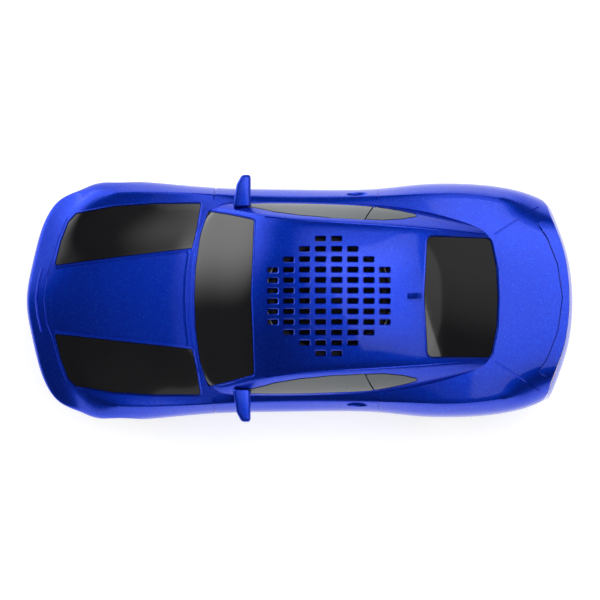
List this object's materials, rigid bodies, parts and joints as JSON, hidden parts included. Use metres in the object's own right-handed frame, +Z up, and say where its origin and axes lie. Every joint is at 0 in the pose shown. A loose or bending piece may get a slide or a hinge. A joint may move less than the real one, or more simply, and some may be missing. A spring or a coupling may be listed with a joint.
{
  "type": "car-shaped portable speaker",
  "caption": "Portable loudspeaker moulded as a toy coupe, with rolling wheels, a slotted roof grille over an upward-facing driver, and switch and buttons underneath.",
  "frame": {"origin": "bottom centre of the object's box: on the ground plane under the wheels, midway along the body", "axes": "+X to the car's nose, +Y to its left, +Z up"},
  "size_m": [0.19, 0.0848, 0.0569],
  "materials": {
    "paint_blue": "deep blue metallic lacquer on moulded plastic, gloss clear coat",
    "gloss_black": "gloss black moulded panel",
    "window_grey": "gloss smoked grey moulded panel",
    "matte_black": "black moulded plastic, fine texture",
    "clear_lamp": "polished clear lens over a silvered bowl",
    "red_lamp": "polished red lens",
    "rim_silver": "silver vacuum-plated plastic",
    "tyre_rubber": "soft black rubber",
    "axle_steel": "bright steel",
    "basket_steel": "plated pressed steel",
    "cone_paper": "black coated paper",
    "surround_rubber": "thin black rubber",
    "magnet_ferrite": "ferrite ring and zinc plated yoke",
    "board_green": "green solder mask on glass epoxy",
    "battery_wrap": "silver-grey film over a pouch cell",
    "button_rubber": "dark grey silicone",
    "lead_red": "red insulated wire"
  },
  "bodies": {
    "car": {"body_shell": "paint_blue", "chassis_pan": "matte_black", "windscreen_panel": "gloss_black", "rear_window_panel": "gloss_black", "bonnet_panel_left": "gloss_black", "bonnet_panel_right": "gloss_black", "door_window_left": "window_grey", "door_window_right": "window_grey", "quarter_window_left": "window_grey", "quarter_window_right": "window_grey", "mirror_left": "paint_blue", "mirror_right": "paint_blue", "roof_aerial": "paint_blue", "boot_lip_spoiler": "paint_blue", "upper_grille": "matte_black", "lower_grille": "matte_black", "rear_diffuser": "matte_black", "headlamp_left": "clear_lamp", "headlamp_right": "clear_lamp", "tail_lamp_left": "red_lamp", "tail_lamp_right": "red_lamp", "speaker_basket": "basket_steel", "speaker_gasket": "surround_rubber", "cone_surround": "surround_rubber", "spider": "cone_paper", "speaker_magnet": "magnet_ferrite", "main_board": "board_green", "battery_cell": "battery_wrap", "charging_socket": "axle_steel", "audio_jack": "matte_black", "card_slot": "axle_steel", "power_switch_body": "axle_steel", "speaker_lead": "lead_red", "battery_lead": "lead_red", "wheel_liner_front_left": "matte_black", "screw_front_left": "axle_steel", "wheel_liner_front_right": "matte_black", "screw_front_right": "axle_steel", "wheel_liner_rear_left": "matte_black", "screw_rear_left": "axle_steel", "wheel_liner_rear_right": "matte_black", "screw_rear_right": "axle_steel"},
    "front_wheels": {"front_axle": "axle_steel", "rim_front_left": "rim_silver", "rim_front_right": "rim_silver", "tyre_front_left": "tyre_rubber", "tyre_front_right": "tyre_rubber"},
    "rear_wheels": {"rear_axle": "axle_steel", "rim_rear_left": "rim_silver", "rim_rear_right": "rim_silver", "tyre_rear_left": "tyre_rubber", "tyre_rear_right": "tyre_rubber"},
    "power_knob": {"power_switch_knob": "button_rubber"},
    "previous_button": {"button_previous": "button_rubber"},
    "play_button": {"button_play": "button_rubber"},
    "next_button": {"button_next": "button_rubber"},
    "cone": {"speaker_cone": "cone_paper", "dust_cap": "cone_paper", "voice_coil": "basket_steel"}
  },
  "joints": [
    {"name": "front_axle_spin", "type": "hinge", "parent": "car", "child": "front_wheels", "pos_m": [0.061, 0, 0.0142], "axis": [0, 1, 0], "continuous": true},
    {"name": "rear_axle_spin", "type": "hinge", "parent": "car", "child": "rear_wheels", "pos_m": [-0.052, 0, 0.0142], "axis": [0, 1, 0], "continuous": true},
    {"name": "power_switch_slide", "type": "slide", "parent": "car", "child": "power_knob", "axis": [1, 0, 0], "range_m": [0, 0.0024]},
    {"name": "previous_button_press", "type": "slide", "parent": "car", "child": "previous_button", "axis": [0, 0, 1], "range_m": [0, 0.0008], "stiffness_N_per_m": 600},
    {"name": "play_button_press", "type": "slide", "parent": "car", "child": "play_button", "axis": [0, 0, 1], "range_m": [0, 0.0008], "stiffness_N_per_m": 600},
    {"name": "next_button_press", "type": "slide", "parent": "car", "child": "next_button", "axis": [0, 0, 1], "range_m": [0, 0.0008], "stiffness_N_per_m": 600},
    {"name": "cone_travel", "type": "slide", "parent": "car", "child": "cone", "axis": [0, 0, 1], "range_m": [-0.001, 0.001], "stiffness_N_per_m": 1200, "deforming": ["cone_surround", "spider"]}
  ]
}
